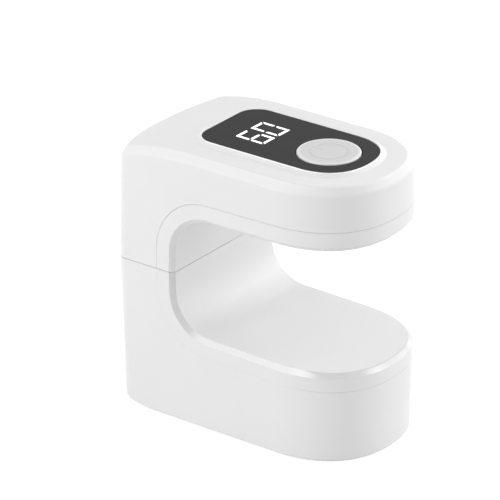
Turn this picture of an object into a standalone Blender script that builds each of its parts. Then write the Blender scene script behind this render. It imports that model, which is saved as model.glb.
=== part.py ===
"""Cordless C-shaped UV LED nail lamp: a base to rest the finger on, a column and a lamp arm above.

Metres, +Z up. The round end faces -Y and the column stands at +Y. The origin is under the middle of the feet.
"""
import math

import bmesh
import bpy
from mathutils import Matrix, Vector

MM = 0.001

# Outer form
LENGTH = 98.8 * MM
WIDTH = 56.2 * MM
HEIGHT = 97.6 * MM
FOOT_PROUD = 0.5 * MM
NOSE_LENGTH = 30.0 * MM
NOSE_POWER = 2.3
BACK_RADIUS = 57.0 * MM
BACK_CORNER = 4.0 * MM
LOWER_DRAFT = 1.0 * MM
UPPER_DRAFT = 0.8 * MM
TOP_DROP = 2.85 * MM
TOP_INSET = 1.85 * MM
TOP_EASE = 0.7 * MM
BOTTOM_ROUND = 1.2 * MM
HEEL_ROUND = 4.2 * MM
HEEL_LENGTH = 16.5 * MM
HEEL_RUN = 8.0 * MM
FLOOR_CHAMFER = 0.45
DROOP_LENGTH = 33.8 * MM
DROOP_RADIUS = 84.5 * MM

# Finger opening
BASE_HEIGHT = 33.35 * MM
ARM_DEPTH = 22.6 * MM
COLUMN_DEPTH = 29.4 * MM
LOWER_COVE = 13.8 * MM
UPPER_COVE = 13.4 * MM
RIM_CHAMFER = 1.6 * MM
GAP_DRAFT = 0.97

# Seams between the four shells
SPLIT_HEIGHT = 54.3 * MM
ARM_LIP = 6.6 * MM
WALL_LIP = 6.6 * MM
BASE_LIP = 6.3 * MM
SEAM_GAP = 0.3 * MM

# Moulded walls
WALL = 2.0 * MM
TOP_WALL = 3.0 * MM
FLOOR_WALL = 2.2 * MM
COVER_WALL = 2.0 * MM

# Play left between neighbouring pieces
CLEARANCE = 0.3 * MM

# Points closer than this are one point
WELD = 0.002 * MM

# Display window
WINDOW_WIDTH = 32.5 * MM
WINDOW_LENGTH = 58.3 * MM
WINDOW_MARGIN = 11.6 * MM
WINDOW_CORNER = 7.5 * MM
WINDOW_THICKNESS = 1.6 * MM
WINDOW_PROUD = 0.1 * MM
WINDOW_BEVEL = 0.3 * MM
WINDOW_LEDGE = 2.5 * MM
BEZEL_WIDTH = 2.6 * MM
BEZEL_LIP = 0.5 * MM
BEZEL_RISE = 0.85 * MM
BEZEL_SINK = 0.1 * MM

# Power button
BUTTON_DIAMETER = 20.6 * MM
BUTTON_SETBACK = 27.2 * MM
BUTTON_PROUD = 0.3 * MM
BUTTON_EDGE = 0.4 * MM
BUTTON_TRAVEL = 0.5 * MM
FLANGE_WIDTH = 1.6 * MM
FLANGE_THICKNESS = 0.8 * MM
STEM_DIAMETER = 4.4 * MM

# Control board with its switch and display
BOARD_THICKNESS = 1.6 * MM
CONTROL_WIDTH = 36.0 * MM
CONTROL_FRONT = 12.5 * MM
BOARD_CORNER = 5.0 * MM
DISPLAY_WIDTH = 19.0 * MM
DISPLAY_DEPTH = 16.0 * MM
DISPLAY_HEIGHT = 7.0 * MM
DISPLAY_SETBACK = 26.8 * MM
SWITCH_SIZE = 6.0 * MM
SWITCH_HEIGHT = 3.5 * MM
PLUNGER_DIAMETER = 3.4 * MM
PLUNGER_PROUD = 1.0 * MM
PLUNGER_DEPTH = 1.2 * MM

# Lamp board and its LEDs
LED_COLUMNS = 2
LED_ROWS = 3
LED_PITCH_X = 18.0 * MM
LED_PITCH_Y = 13.0 * MM
LED_DIAMETER = 5.0 * MM
LED_FLANGE = 6.8 * MM
LED_FLANGE_HEIGHT = 1.4 * MM
LED_RECESS = 0.5 * MM
LAMP_BOARD_WIDTH = 34.0 * MM
LAMP_BOARD_LENGTH = 46.0 * MM
LAMP_BOARD_MARGIN = 8.5 * MM

# Cell, charge board and socket in the base
CELL_DIAMETER = 18.4 * MM
CELL_LENGTH = 65.0 * MM
CELL_LIFT = 1.2 * MM
CELL_MARGIN = 6.5 * MM
CRADLE_THICKNESS = 3.0 * MM
CRADLE_HEIGHT = 7.0 * MM
CHARGE_WIDTH = 24.0 * MM
CHARGE_GAP = 2.0 * MM
CHARGE_MARGIN = 4.5 * MM
CHARGE_LIFT = 2.8 * MM
SOCKET_WIDTH = 9.0 * MM
SOCKET_HEIGHT = 3.2 * MM
SOCKET_LENGTH = 7.4 * MM
SOCKET_RECESS = 0.6 * MM
SOCKET_SHELL = 0.35 * MM
SOCKET_TONGUE = 0.7 * MM

# Cables
RIBBON_WIDTH = 10.0 * MM
RIBBON_THICKNESS = 0.6 * MM
RIBBON_SETBACK = 6.0 * MM
RIBBON_INSET = 2.5 * MM
LEAD_WIDTH = 5.0 * MM

# Feet
FOOT_DIAMETER = 9.0 * MM
FOOT_RECESS = 1.0 * MM
FOOT_INSET_X = 10.5 * MM
FOOT_INSET_FRONT = 21.0 * MM
FOOT_INSET_BACK = 15.0 * MM

# Screws and the posts that they go into
SCREW_DIAMETER = 2.6 * MM
SCREW_HEAD = 5.0 * MM
SCREW_HEAD_HEIGHT = 1.6 * MM
SCREW_BITE = 5.0 * MM
SMALL_SCREW_DIAMETER = 2.0 * MM
SMALL_SCREW_HEAD = 3.8 * MM
SMALL_SCREW_HEAD_HEIGHT = 1.3 * MM
SMALL_SCREW_BITE = 3.0 * MM
POST_WALL = 1.5 * MM
SCREW_WEB = 1.6 * MM
BASE_SCREW_INSET = 8.0 * MM
BASE_SCREW_FRONT = 30.0 * MM
BASE_SCREW_BACK = 42.0 * MM
COVER_SCREW_INSET = 6.2 * MM
COVER_SCREW_BACK = 20.0 * MM
CONTROL_SCREW_INSET = 2.9 * MM
CONTROL_SCREW_FRONT = 3.2 * MM
CONTROL_SCREW_BACK = 6.0 * MM
LAMP_SCREW_INSET = 3.2 * MM

# Facets
NOSE_STEPS = 18
SIDE_STEPS = 8
CORNER_STEPS = 4
BACK_STEPS = 4
ROUND_STEPS = 6
EASE_STEPS = 3
COVE_STEPS = 8
RIM_STEPS = 4
RAMP_STEPS = 6
DOME_STEPS = 3
TURN_STEPS = 32
SMALL_TURN_STEPS = 12

# Places worked out from the sizes above
FRONT_Y = -LENGTH / 2
BACK_Y = LENGTH / 2
HALF_WIDTH = WIDTH / 2
ARM_UNDER = HEIGHT - ARM_DEPTH
INNER_WALL_Y = BACK_Y - COLUMN_DEPTH
DROOP_START = BACK_Y - DROOP_LENGTH
FLOOR_TOP = FOOT_PROUD + FLOOR_WALL
COVER_TOP = ARM_UNDER + COVER_WALL
REST_UNDER = BASE_HEIGHT - COVER_WALL
REACH = LENGTH
WINDOW_ARC_Y = FRONT_Y + WINDOW_MARGIN + WINDOW_WIDTH / 2
WINDOW_BACK_Y = FRONT_Y + WINDOW_MARGIN + WINDOW_LENGTH
BEZEL_TOP = HEIGHT + BEZEL_RISE
WINDOW_TOP = BEZEL_TOP + WINDOW_PROUD
WINDOW_UNDER = WINDOW_TOP - WINDOW_THICKNESS
LEDGE_TOP = WINDOW_UNDER - CLEARANCE
BUTTON_Y = FRONT_Y + BUTTON_SETBACK
BUTTON_TOP = WINDOW_TOP + BUTTON_PROUD
FLANGE_TOP = WINDOW_UNDER - CLEARANCE
FLANGE_UNDER = FLANGE_TOP - FLANGE_THICKNESS
CONTROL_TOP = WINDOW_UNDER - CLEARANCE - DISPLAY_HEIGHT - CLEARANCE
CONTROL_UNDER = CONTROL_TOP - BOARD_THICKNESS
SWITCH_UNDER = CONTROL_TOP + CLEARANCE
SWITCH_TOP = SWITCH_UNDER + SWITCH_HEIGHT
CONTROL_FRONT_Y = FRONT_Y + CONTROL_FRONT
LED_TOP = COVER_TOP + CLEARANCE + LED_FLANGE_HEIGHT
LAMP_BOARD_UNDER = LED_TOP + CLEARANCE
LAMP_BOARD_TOP = LAMP_BOARD_UNDER + BOARD_THICKNESS
LAMP_BOARD_FRONT_Y = FRONT_Y + LAMP_BOARD_MARGIN
LAMP_BOARD_BACK_Y = LAMP_BOARD_FRONT_Y + LAMP_BOARD_LENGTH
CELL_FRONT_Y = FRONT_Y + CELL_MARGIN
CELL_BACK_Y = CELL_FRONT_Y + CELL_LENGTH
CELL_Z = FLOOR_TOP + CELL_LIFT + CELL_DIAMETER / 2
CHARGE_BACK_Y = BACK_Y - CHARGE_MARGIN
CHARGE_FRONT_Y = CELL_BACK_Y + CHARGE_GAP
CHARGE_UNDER = FLOOR_TOP + CHARGE_LIFT
CHARGE_TOP = CHARGE_UNDER + BOARD_THICKNESS
RIBBON_Y = CHARGE_FRONT_Y + RIBBON_SETBACK
CONTROL_BACK_Y = RIBBON_Y + RIBBON_INSET
SOCKET_UNDER = CHARGE_TOP + CLEARANCE
SOCKET_MOUTH_Y = BACK_Y - SOCKET_RECESS
SOCKET_Z = SOCKET_UNDER + SOCKET_HEIGHT / 2


# Materials

def make_material(name, color, roughness, metallic=0.0):
    """A plain finish for one kind of piece."""
    material = bpy.data.materials.new(name)
    material.use_nodes = True
    shader = material.node_tree.nodes["Principled BSDF"]
    shader.inputs["Base Color"].default_value = (*color, 1.0)
    shader.inputs["Roughness"].default_value = roughness
    shader.inputs["Metallic"].default_value = metallic
    return material


def make_materials():
    """Every finish on the lamp by its short name."""
    return {
        "white_abs": make_material("white_abs", (0.86, 0.86, 0.86), 0.38),
        "smoked_acrylic": make_material("smoked_acrylic", (0.06, 0.06, 0.06), 0.18),
        "button_abs": make_material("button_abs", (0.66, 0.66, 0.66), 0.35),
        "black_nylon": make_material("black_nylon", (0.02, 0.02, 0.02), 0.5),
        "board": make_material("board", (0.03, 0.16, 0.06), 0.45),
        "lamp_board": make_material("lamp_board", (0.80, 0.80, 0.78), 0.4),
        "led": make_material("led", (0.85, 0.80, 0.55), 0.1),
        "cell_wrap": make_material("cell_wrap", (0.05, 0.16, 0.42), 0.3),
        "steel": make_material("steel", (0.62, 0.62, 0.63), 0.28, 1.0),
        "cable": make_material("cable", (0.70, 0.70, 0.68), 0.5),
        "rubber": make_material("rubber", (0.05, 0.05, 0.05), 0.8),
    }


# Solids

def start_scene():
    """Empty the file and give the lamp's parent."""
    for item in list(bpy.data.objects):
        bpy.data.objects.remove(item)
    lamp = bpy.data.objects.new("nail_lamp", None)
    bpy.context.scene.collection.objects.link(lamp)
    return lamp


def solid(name, shape):
    """An object in the scene from a closed bmesh, its faces turned outwards."""
    bmesh.ops.recalc_face_normals(shape, faces=shape.faces)
    mesh = bpy.data.meshes.new(name)
    shape.to_mesh(mesh)
    shape.free()
    item = bpy.data.objects.new(name, mesh)
    bpy.context.scene.collection.objects.link(item)
    return item


def weld(mesh):
    """Close hairline cracks by merging points that lie closer than any real edge."""
    shape = bmesh.new()
    shape.from_mesh(mesh)
    bmesh.ops.remove_doubles(shape, verts=shape.verts, dist=WELD)
    shape.to_mesh(mesh)
    shape.free()


def shape_with(target, tool, operation):
    """Cut, keep or join target with tool, then drop the tool."""
    modifier = target.modifiers.new("shape", "BOOLEAN")
    modifier.operation = operation
    modifier.solver = "EXACT"
    modifier.object = tool
    view = bpy.context.evaluated_depsgraph_get()
    mesh = bpy.data.meshes.new_from_object(target.evaluated_get(view))
    target.modifiers.remove(modifier)
    weld(mesh)
    old_mesh = target.data
    target.data = mesh
    bpy.data.meshes.remove(old_mesh)
    bpy.data.objects.remove(tool)


def cut(target, tool):
    """Take tool away from target."""
    shape_with(target, tool, "DIFFERENCE")


def keep(target, tool):
    """Keep only the share of target inside tool."""
    shape_with(target, tool, "INTERSECT")


def join(target, tool):
    """Fuse tool to target."""
    shape_with(target, tool, "UNION")


def copy_of(item, name):
    """A second object with its own mesh."""
    twin = bpy.data.objects.new(name, item.data.copy())
    bpy.context.scene.collection.objects.link(twin)
    return twin


def prism(name, outline, low, high):
    """An outline in plan, raised from low to high."""
    shape = bmesh.new()
    rim = [shape.verts.new((x, y, low)) for x, y in outline]
    face = shape.faces.new(rim)
    raised = bmesh.ops.extrude_face_region(shape, geom=[face])["geom"]
    tops = [item for item in raised if isinstance(item, bmesh.types.BMVert)]
    bmesh.ops.translate(shape, vec=(0, 0, high - low), verts=tops)
    return solid(name, shape)


def side_prism(name, profile, half_span):
    """A profile in Y and Z, run across the width."""
    shape = bmesh.new()
    rim = [shape.verts.new((-half_span, y, z)) for y, z in profile]
    face = shape.faces.new(rim)
    raised = bmesh.ops.extrude_face_region(shape, geom=[face])["geom"]
    fars = [item for item in raised if isinstance(item, bmesh.types.BMVert)]
    bmesh.ops.translate(shape, vec=(2 * half_span, 0, 0), verts=fars)
    return solid(name, shape)


def turned(name, profile, steps):
    """A solid of revolution about Z from (radius, z) points that start and end on the axis."""
    shape = bmesh.new()
    rings = []
    for radius, z in profile:
        if radius == 0:
            rings.append([shape.verts.new((0, 0, z))])
            continue
        angles = [2 * math.pi * step / steps for step in range(steps)]
        rings.append([shape.verts.new((radius * math.cos(a), radius * math.sin(a), z)) for a in angles])
    for lower, upper in zip(rings, rings[1:]):
        for step in range(steps):
            ahead = (step + 1) % steps
            corners = [lower[step % len(lower)], lower[ahead % len(lower)],
                       upper[ahead % len(upper)], upper[step % len(upper)]]
            shape.faces.new(dict.fromkeys(corners))
    return solid(name, shape)


def move(item, x=0.0, y=0.0, z=0.0):
    """Shift a solid's mesh."""
    item.data.transform(Matrix.Translation(Vector((x, y, z))))
    return item


def lay_along_y(item):
    """Turn a solid made about Z to lie along +Y."""
    item.data.transform(Matrix.Rotation(-math.pi / 2, 4, "X"))
    return item


def rod(name, radius, low, high, x=0.0, y=0.0, steps=SMALL_TURN_STEPS):
    """A plain upright cylinder."""
    return move(turned(name, [(0, low), (radius, low), (radius, high), (0, high)], steps), x, y)


def box(name, low, high):
    """A block between two corners."""
    outline = [(low[0], low[1]), (high[0], low[1]), (high[0], high[1]), (low[0], high[1])]
    return prism(name, outline, low[2], high[2])


def arc(centre, radius, start, end, steps):
    """Points along an arc, angles in degrees."""
    angles = [math.radians(start + (end - start) * step / steps) for step in range(steps + 1)]
    return [(centre[0] + radius * math.cos(a), centre[1] + radius * math.sin(a)) for a in angles]


def rounded_rectangle(x_low, y_low, x_high, y_high, radius):
    """A rectangle in plan with round corners."""
    corners = [(x_high - radius, y_high - radius, 0), (x_low + radius, y_high - radius, 90),
               (x_low + radius, y_low + radius, 180), (x_high - radius, y_low + radius, 270)]
    outline = []
    for x, y, start in corners:
        outline += arc((x, y), radius, start, start + 90, CORNER_STEPS)
    return outline


# The lamp's outer form

def half_plan(inset):
    """The right half of the outline in plan, from the tip of the nose to the middle of the back."""
    half = HALF_WIDTH - inset
    nose = NOSE_LENGTH - inset
    nose_end = FRONT_Y + NOSE_LENGTH
    points = []
    for step in range(NOSE_STEPS + 1):
        angle = math.pi / 2 * (1 - step / NOSE_STEPS)
        across = half * math.cos(angle) ** (2 / NOSE_POWER)
        ahead = nose * math.sin(angle) ** (2 / NOSE_POWER)
        points.append((across if step else 0.0, nose_end - ahead))
    corner = max(BACK_CORNER - inset, BACK_CORNER / 8)
    sweep = BACK_RADIUS - inset
    sweep_y = BACK_Y - BACK_RADIUS
    corner_x = half - corner
    corner_y = sweep_y + math.sqrt((sweep - corner) ** 2 - corner_x ** 2)
    turn = math.degrees(math.atan2(corner_y - sweep_y, corner_x))
    for step in range(1, SIDE_STEPS):
        points.append((half, nose_end + (corner_y - nose_end) * step / SIDE_STEPS))
    points += arc((corner_x, corner_y), corner, 0, turn, CORNER_STEPS)
    points += arc((0, sweep_y), sweep, turn, 90, BACK_STEPS)[1:-1]
    return points + [(0.0, BACK_Y - inset)]


def droop(y):
    """How far the top has curved down by y, towards the back."""
    past = max(0.0, y - DROOP_START)
    return past ** 2 / (2 * DROOP_RADIUS)


def foot_round(y):
    """How large the round of the foot's edge is at y: small along the sides, larger at the back."""
    share = (y - BACK_Y + HEEL_LENGTH) / HEEL_RUN
    return BOTTOM_ROUND + (HEEL_ROUND - BOTTOM_ROUND) * min(max(share, 0.0), 1.0)


def half_ring(inset, height, share, tuck=0.0, lift=0.0):
    """Half an outline of the form, with its share of the droop, tucked in and lifted by the foot's round."""
    points = []
    for step, (x, y) in enumerate(half_plan(inset)):
        edge = foot_round(y)
        x, y = half_plan(inset + tuck * edge)[step]
        points.append((x, y, height + lift * edge - share * droop(y)))
    return points


def loft(name, levels):
    """A closed form through plan outlines, each given as for half_ring."""
    shape = bmesh.new()
    rings = []
    for level in levels:
        right = half_ring(*level)
        left = [(-x, y, z) for x, y, z in right[1:-1]]
        rings.append([shape.verts.new(point) for point in right + left[::-1]])
    count = len(rings[0])
    for lower, upper in zip(rings, rings[1:]):
        for step in range(count):
            ahead = (step + 1) % count
            shape.faces.new((lower[step], lower[ahead], upper[ahead], upper[step]))
    for ring in (rings[0], rings[-1]):
        for step in range(count // 2):
            corners = [ring[step], ring[step + 1], ring[count - step - 1], ring[-step % count]]
            shape.faces.new(dict.fromkeys(corners))
    return solid(name, shape)


def eased(before, corner, after, steps):
    """A corner between two straight runs, eased from one point to the other."""
    points = []
    for step in range(steps + 1):
        share = step / steps
        weights = ((1 - share) ** 2, 2 * share * (1 - share), share ** 2)
        points.append(tuple(sum(weight * point[axis] for weight, point in zip(weights, (before, corner, after)))
                            for axis in (0, 1)))
    return points


def top_edge():
    """The chamfer round the top as (inset, height) points, its two corners eased."""
    low = (UPPER_DRAFT, HEIGHT - TOP_DROP)
    high = (UPPER_DRAFT + TOP_INSET, HEIGHT)
    share = TOP_EASE / math.hypot(TOP_INSET, TOP_DROP)
    across = TOP_INSET * share
    rise = TOP_DROP * share
    points = eased((low[0], low[1] - TOP_EASE), low, (low[0] + across, low[1] + rise), EASE_STEPS)
    return points + eased((high[0] - across, high[1] - rise), high, (high[0] + TOP_EASE, HEIGHT), EASE_STEPS)


def outer_levels():
    """Rings up the outside: rounded foot edge, drafted walls that are widest at the split, chamfered top.

    The walls stay flat up to a shoulder just below the drooping top.
    """
    levels = []
    for step in range(ROUND_STEPS):
        angle = math.pi / 2 * step / (ROUND_STEPS - 1)
        levels.append((LOWER_DRAFT, FOOT_PROUD, 0, 1 - math.sin(angle), 1 - math.cos(angle)))
    levels.append((0, SPLIT_HEIGHT, 0))
    crease = HEIGHT - TOP_DROP - TOP_EASE
    shoulder = crease - droop(BACK_Y) - BOTTOM_ROUND
    share = (shoulder - SPLIT_HEIGHT) / (crease - SPLIT_HEIGHT)
    levels.append((UPPER_DRAFT * share, shoulder, 0))
    return levels + [(inset, height, 1) for inset, height in top_edge()]


def inner_levels():
    """Rings up the inside, one wall in from the outside."""
    top = HEIGHT - TOP_WALL
    return [(LOWER_DRAFT + WALL, FLOOR_TOP, 0, FLOOR_CHAMFER, 0), (LOWER_DRAFT + WALL, FLOOR_TOP, 0, 0, FLOOR_CHAMFER),
            (WALL, SPLIT_HEIGHT, 0),
            (UPPER_DRAFT + WALL, top - TOP_INSET, 1), (UPPER_DRAFT + WALL + TOP_INSET, top, 1)]


def opening_profile(base_grow, wall_grow, arm_grow, arm_draft):
    """The finger opening in Y and Z, grown into the base, the column and the arm, wider to the front by its draft."""
    low = BASE_HEIGHT - base_grow
    high = ARM_UNDER + arm_grow
    wall = INNER_WALL_Y + wall_grow
    lower = LOWER_COVE + (base_grow + wall_grow) / 2
    upper = UPPER_COVE + (arm_grow + wall_grow) / 2
    curve = arc((wall - lower, low + lower), lower, GAP_DRAFT - 90, 0, COVE_STEPS)
    curve += arc((wall - upper, high - upper), upper, 0, 90 - arm_draft, COVE_STEPS)
    base_fall = (REACH + curve[0][0]) * math.tan(math.radians(GAP_DRAFT))
    arm_rise = (REACH + curve[-1][0]) * math.tan(math.radians(arm_draft))
    return [(-REACH, curve[0][1] - base_fall)] + curve + [(-REACH, curve[-1][1] + arm_rise)]


def opening(name, base_grow=0.0, wall_grow=0.0, arm_grow=0.0, arm_draft=GAP_DRAFT):
    """The finger opening as a solid to cut with."""
    return side_prism(name, opening_profile(base_grow, wall_grow, arm_grow, arm_draft), REACH)


def chamfer_rim(item):
    """Chamfer the edge where the finger opening breaks out through the sides, its corners slightly eased."""
    shape = bmesh.new()
    shape.from_mesh(item.data)
    bmesh.ops.dissolve_limit(shape, angle_limit=0.0005, verts=shape.verts, edges=shape.edges)
    sharp = math.radians(50)
    rim = [edge for edge in shape.edges if edge.is_manifold and edge.calc_face_angle() > sharp]
    bmesh.ops.bevel(shape, geom=rim, offset=RIM_CHAMFER, segments=RIM_STEPS, profile=0.3,
                    affect="EDGES", clamp_overlap=False)
    shape.to_mesh(item.data)
    shape.free()


def c_form(name):
    """The whole outer form with its finger opening and chamfered rim."""
    form = loft(name, outer_levels())
    cut(form, opening("gap"))
    chamfer_rim(form)
    return form


def c_hollow(name):
    """The space inside the walls, level over the arm's underside for the LEDs to sit on."""
    hollow = loft(name, inner_levels())
    cut(hollow, opening("gap", COVER_WALL, COVER_WALL, COVER_WALL, arm_draft=0.0))
    return hollow


def half_space(name, upper):
    """Everything above or below the housing split."""
    edge = SPLIT_HEIGHT + (SEAM_GAP if upper else -SEAM_GAP) / 2
    low = edge if upper else -REACH
    high = 2 * REACH if upper else edge
    return box(name, (-REACH, -REACH, low), (REACH, REACH, high))


def make_shell(name, form, hollow, upper, cover):
    """One of the four shells: upper or lower, outer housing or inner cover."""
    shell = copy_of(form, name)
    keep(shell, half_space("half", upper))
    grow = 0.0 if cover else SEAM_GAP
    lip = opening("lip", BASE_LIP + grow, WALL_LIP + grow, ARM_LIP + grow)
    if cover:
        keep(shell, lip)
    else:
        cut(shell, lip)
    cut(shell, copy_of(hollow, "space"))
    return shell


# Screws, posts and their places

def screw_places():
    """Where each set of screws stands in plan."""
    base_x = HALF_WIDTH - BASE_SCREW_INSET
    cover_x = HALF_WIDTH - COVER_SCREW_INSET
    control_x = CONTROL_WIDTH / 2 - CONTROL_SCREW_INSET
    base_ys = (FRONT_Y + BASE_SCREW_FRONT, BACK_Y - BASE_SCREW_BACK)
    control_ys = (CONTROL_FRONT_Y + CONTROL_SCREW_FRONT, CONTROL_BACK_Y - CONTROL_SCREW_BACK)
    lamp_ys = (LAMP_BOARD_FRONT_Y + LAMP_SCREW_INSET, LAMP_BOARD_BACK_Y - LAMP_SCREW_INSET)
    return {
        "base": [(side * base_x, y) for y in base_ys for side in (-1, 1)],
        "cover": [(side * cover_x, INNER_WALL_Y - COVER_SCREW_BACK) for side in (-1, 1)],
        "control": [(side * control_x, y) for y in control_ys for side in (-1, 1)],
        "lamp": [(0.0, y) for y in lamp_ys],
    }


def pan_screw(name, diameter, head, head_height, length):
    """A pan-head screw about Z, the seat of its head at zero and its shank pointing up."""
    crown = head_height / 3
    profile = [(0, -head_height), (head / 2 - crown, -head_height), (head / 2, -head_height + crown),
               (head / 2, 0), (diameter / 2, 0), (diameter / 2, length - diameter / 2),
               (diameter / 5, length), (0, length)]
    return turned(name, profile, SMALL_TURN_STEPS)


def post(target, place, radius, low, high):
    """Fuse an upright post to a shell."""
    join(target, rod("post", radius, low, high, *place))


def drill(target, place, radius, low, high):
    """Cut an upright round hole."""
    cut(target, rod("hole", radius, low, high, *place))


# Upper shells

def bow(half, depth, y, steps):
    """A blunt round front in plan, from its left end round to its right end."""
    points = []
    for step in range(steps + 1):
        angle = math.pi * step / steps
        across = abs(math.cos(angle)) ** (2 / NOSE_POWER)
        ahead = abs(math.sin(angle)) ** (2 / NOSE_POWER)
        points.append((-half * math.copysign(across, math.cos(angle)), y - depth * ahead))
    return points


def window_outline(grow):
    """The display window in plan: a blunt round front and a square back with rounded corners."""
    half = WINDOW_WIDTH / 2 + grow
    back = WINDOW_BACK_Y + grow
    corner = WINDOW_CORNER + grow
    outline = bow(half, half, WINDOW_ARC_Y, TURN_STEPS // 2)
    outline += arc((half - corner, back - corner), corner, 0, 90, CORNER_STEPS)
    outline += arc((corner - half, back - corner), corner, 90, 180, CORNER_STEPS)
    return outline


def make_bezel(foot):
    """The raised frame round the window: a soft ramp up from the drooping top to a narrow level lip."""
    shape = bmesh.new()
    rings = [[shape.verts.new((x, y, foot)) for x, y in window_outline(BEZEL_WIDTH)]]
    for step in range(RAMP_STEPS + 1):
        share = step / RAMP_STEPS
        rise = (1 - math.cos(math.pi * share)) / 2
        outline = window_outline(BEZEL_WIDTH + (BEZEL_LIP - BEZEL_WIDTH) * share)
        lows = [HEIGHT - BEZEL_SINK - droop(y) for x, y in outline]
        rings.append([shape.verts.new((x, y, low + (BEZEL_TOP - low) * rise))
                      for (x, y), low in zip(outline, lows)])
    count = len(rings[0])
    for lower, upper in zip(rings, rings[1:]):
        for step in range(count):
            ahead = (step + 1) % count
            shape.faces.new((lower[step], lower[ahead], upper[ahead], upper[step]))
    shape.faces.new(rings[0])
    shape.faces.new(rings[-1])
    return solid("bezel", shape)


def make_upper_housing(form, hollow, places):
    """The arm's outer shell with the window's bezel and seat and the posts that hang from its top."""
    shell = make_shell("upper_housing", form, hollow, upper=True, cover=False)
    under_top = HEIGHT - TOP_WALL / 2
    join(shell, make_bezel(under_top))
    control_post = SMALL_SCREW_DIAMETER / 2 + CLEARANCE + POST_WALL
    for place in places["control"]:
        post(shell, place, control_post, CONTROL_TOP + CLEARANCE, under_top - droop(place[1]))
        drill(shell, place, SMALL_SCREW_DIAMETER / 2 + CLEARANCE, CONTROL_TOP,
              CONTROL_TOP + CLEARANCE + SMALL_SCREW_BITE + CLEARANCE)
    cover_post = SCREW_DIAMETER / 2 + CLEARANCE + POST_WALL
    post_foot = cover_boss_top() + CLEARANCE
    for place in places["cover"]:
        post(shell, place, cover_post, post_foot, under_top)
        drill(shell, place, SCREW_DIAMETER / 2 + CLEARANCE, ARM_UNDER, post_foot + SCREW_BITE + CLEARANCE)
    cut(shell, prism("seat", window_outline(CLEARANCE), LEDGE_TOP, HEIGHT + REACH))
    cut(shell, prism("well", window_outline(-WINDOW_LEDGE), FLANGE_UNDER - TOP_WALL, HEIGHT + REACH))
    return shell


def cover_boss_top():
    """The top of the bosses round the lamp cover's screws."""
    return ARM_UNDER + SCREW_HEAD_HEIGHT + 2 * CLEARANCE + SCREW_WEB


def led_places():
    """Where the LEDs look down, centred under their board."""
    middle = (LAMP_BOARD_FRONT_Y + LAMP_BOARD_BACK_Y) / 2
    places = []
    for row in range(LED_ROWS):
        for column in range(LED_COLUMNS):
            x = (column - (LED_COLUMNS - 1) / 2) * LED_PITCH_X
            places.append((x, middle + (row - (LED_ROWS - 1) / 2) * LED_PITCH_Y))
    return places


def make_lamp_cover(form, hollow, places):
    """The arm's underside and the upper inner wall, with LED holes, bosses and board posts."""
    shell = make_shell("lamp_cover", form, hollow, upper=True, cover=True)
    plate = COVER_TOP - COVER_WALL / 2
    for place in places["lamp"]:
        post(shell, place, SMALL_SCREW_DIAMETER / 2 + CLEARANCE + POST_WALL, plate,
             LAMP_BOARD_UNDER - CLEARANCE)
        drill(shell, place, SMALL_SCREW_DIAMETER / 2 + CLEARANCE, plate, LAMP_BOARD_TOP)
    for place in places["cover"]:
        post(shell, place, SCREW_HEAD / 2 + CLEARANCE + POST_WALL / 2, plate, cover_boss_top())
        drill(shell, place, SCREW_HEAD / 2 + CLEARANCE, 0, cover_boss_top() - SCREW_WEB)
        drill(shell, place, SCREW_DIAMETER / 2 + CLEARANCE, ARM_UNDER + SCREW_HEAD_HEIGHT, LAMP_BOARD_TOP)
    for place in led_places():
        drill(shell, place, LED_DIAMETER / 2 + CLEARANCE, BASE_HEIGHT + COVER_WALL, LED_TOP)
    return shell


# Lower shells

def base_boss_top():
    """The top of the bosses round the base screws."""
    return FLOOR_TOP + SCREW_HEAD_HEIGHT + SCREW_WEB


def foot_places():
    """Where the feet sit in plan."""
    x = HALF_WIDTH - FOOT_INSET_X
    ys = (FRONT_Y + FOOT_INSET_FRONT, BACK_Y - FOOT_INSET_BACK)
    return [(side * x, y) for y in ys for side in (-1, 1)]


def charge_post_places():
    """Where the charge board rests."""
    x = CHARGE_WIDTH / 2 - POST_WALL * 2
    return [(side * x, (CHARGE_FRONT_Y + CHARGE_BACK_Y) / 2) for side in (-1, 1)]


def cradle(y):
    """A saddle across the floor that the cell lies in."""
    half = CELL_DIAMETER / 2 + CRADLE_THICKNESS
    rib = box("cradle", (-half, y - CRADLE_THICKNESS / 2, FLOOR_TOP - FLOOR_WALL / 2),
              (half, y + CRADLE_THICKNESS / 2, FLOOR_TOP + CELL_LIFT + CRADLE_HEIGHT))
    seat = lay_along_y(rod("seat", CELL_DIAMETER / 2 + CLEARANCE, -REACH, REACH, steps=TURN_STEPS))
    cut(rib, move(seat, z=CELL_Z))
    return rib


def socket_outline(grow):
    """The charging socket's mouth in X and Z: flat top and bottom, round ends."""
    radius = SOCKET_HEIGHT / 2
    reach = SOCKET_WIDTH / 2 - radius
    steps = SMALL_TURN_STEPS // 2
    return arc((reach, 0), radius + grow, -90, 90, steps) + arc((-reach, 0), radius + grow, 90, 270, steps)


def socket_prism(name, grow, front, back):
    """The socket's outline run along Y, at the socket's height."""
    outline = [(x, -z) for x, z in socket_outline(grow)]
    run = lay_along_y(prism(name, outline, front, back))
    return move(run, z=SOCKET_Z)


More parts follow.
